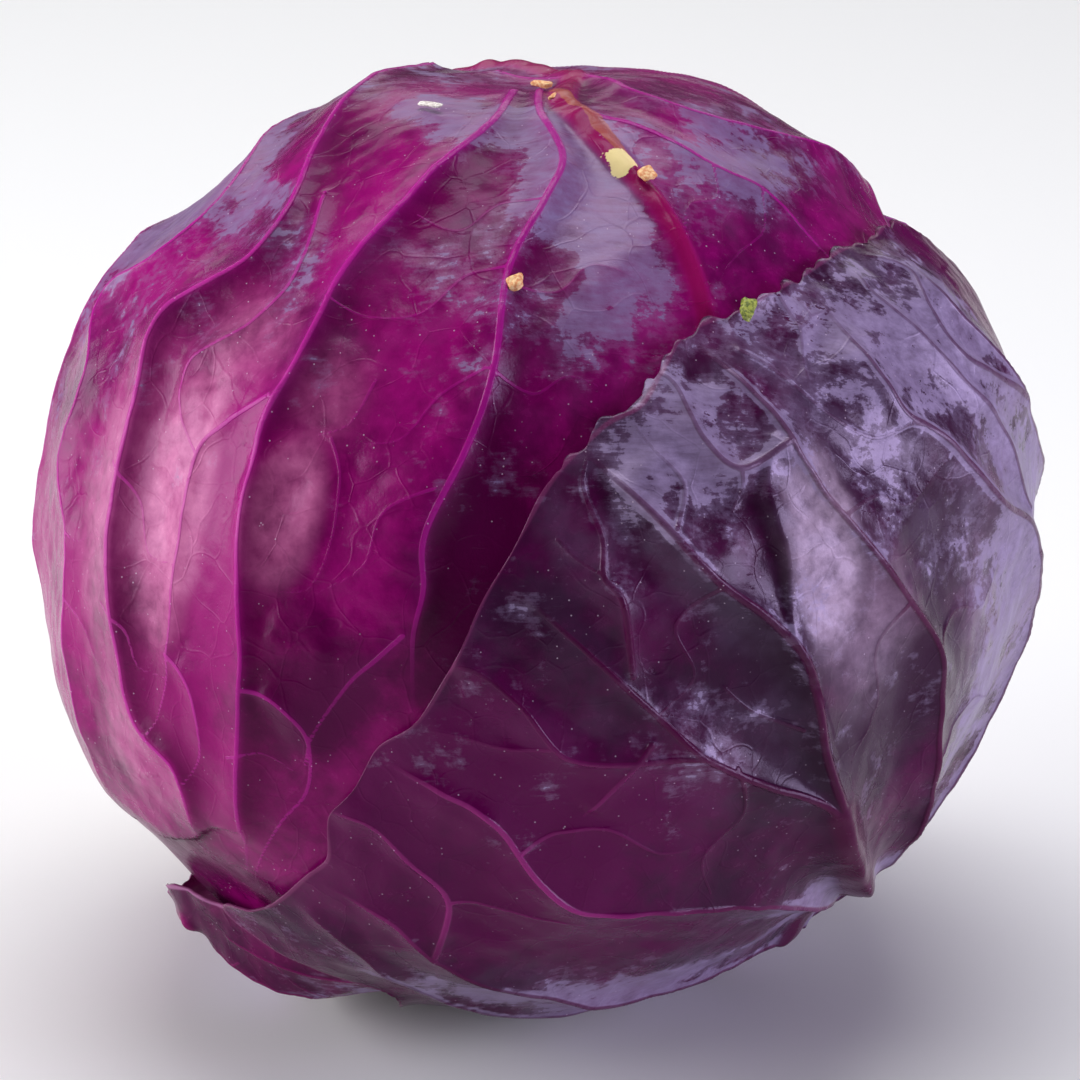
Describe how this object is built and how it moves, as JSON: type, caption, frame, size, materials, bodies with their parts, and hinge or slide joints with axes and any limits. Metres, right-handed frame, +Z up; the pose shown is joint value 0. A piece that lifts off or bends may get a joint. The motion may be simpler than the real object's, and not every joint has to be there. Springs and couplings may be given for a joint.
{
  "type": "red cabbage head",
  "caption": "Red cabbage head lying on its side: waxy overlapping outer leaves wrapped from a short cut stem round a tight heart.",
  "frame": {"origin": "middle of the head's box on the surface that it rests on", "axes": "+Z up, away from the surface; the side with the two big overlapping leaves faces -Y; the cut stem points back, left and down"},
  "size_m": [0.1678, 0.1615, 0.1579],
  "materials": {
    "violet_outer_leaf": "smooth dark violet leaf skin under a thin rubbed wax bloom",
    "waxy_outer_leaf": "leaf skin with a heavy blue-lavender wax bloom",
    "magenta_outer_leaf": "satin magenta leaf skin, bloom mostly rubbed off",
    "back_leaf": "violet leaf skin with a wax bloom and pale ribs",
    "inner_leaf": "smooth magenta leaf skin",
    "heart": "smooth magenta leaf skin",
    "cut_stem": "dry pale cut of the stem with a fibrous ring"
  },
  "bodies": {
    "root": {"right_outer_leaf": "violet_outer_leaf", "lower_left_leaf": "waxy_outer_leaf", "left_outer_leaf": "magenta_outer_leaf", "back_left_leaf": "back_leaf", "back_right_leaf": "back_leaf", "back_top_leaf": "back_leaf", "under_leaf": "inner_leaf", "tip_leaf": "inner_leaf", "heart": "heart", "stem_stump": "cut_stem"}
  },
  "joints": []
}
